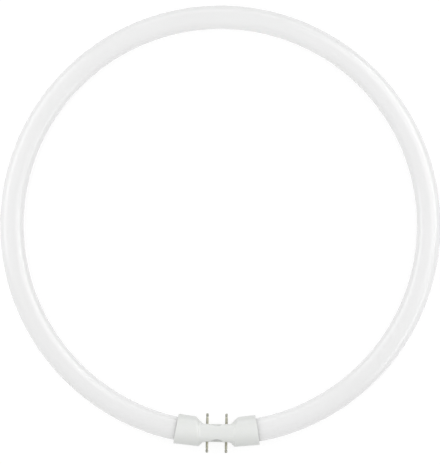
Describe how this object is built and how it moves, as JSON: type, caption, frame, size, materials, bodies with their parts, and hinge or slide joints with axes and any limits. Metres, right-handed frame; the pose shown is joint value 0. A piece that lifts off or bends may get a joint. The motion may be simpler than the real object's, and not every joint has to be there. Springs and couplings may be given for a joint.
{
  "type": "circular fluorescent tube",
  "caption": "Ring-shaped white fluorescent lamp whose tube ends meet in a waisted white cap with contact pins towards the ring's centre and away from it.",
  "frame": {"origin": "middle of the lamp's footprint, on the surface it lies on", "axes": "+Z along the ring's axis, from the rear half of the cap to the front half; the cap is at the -Y side of the ring, and +X runs along the row of pins"},
  "size_m": [0.3, 0.3054, 0.0206],
  "materials": {
    "coated_glass": "glossy glass, opaque white from the powder coat inside",
    "cap_plastic": "satin moulded white plastic",
    "pin_metal": "dull plated brass",
    "lead_metal": "drawn wire",
    "cement": "matt white sealing compound"
  },
  "bodies": {
    "root": {"glass_tube": "coated_glass", "front_shell": "cap_plastic", "rear_shell": "cap_plastic", "cement_left": "cement", "cement_right": "cement", "pin_inner_left": "pin_metal", "pin_inner_right": "pin_metal", "pin_outer_left": "pin_metal", "pin_outer_right": "pin_metal", "lead_inner_left": "lead_metal", "lead_inner_right": "lead_metal", "lead_outer_left": "lead_metal", "lead_outer_right": "lead_metal"}
  },
  "joints": []
}
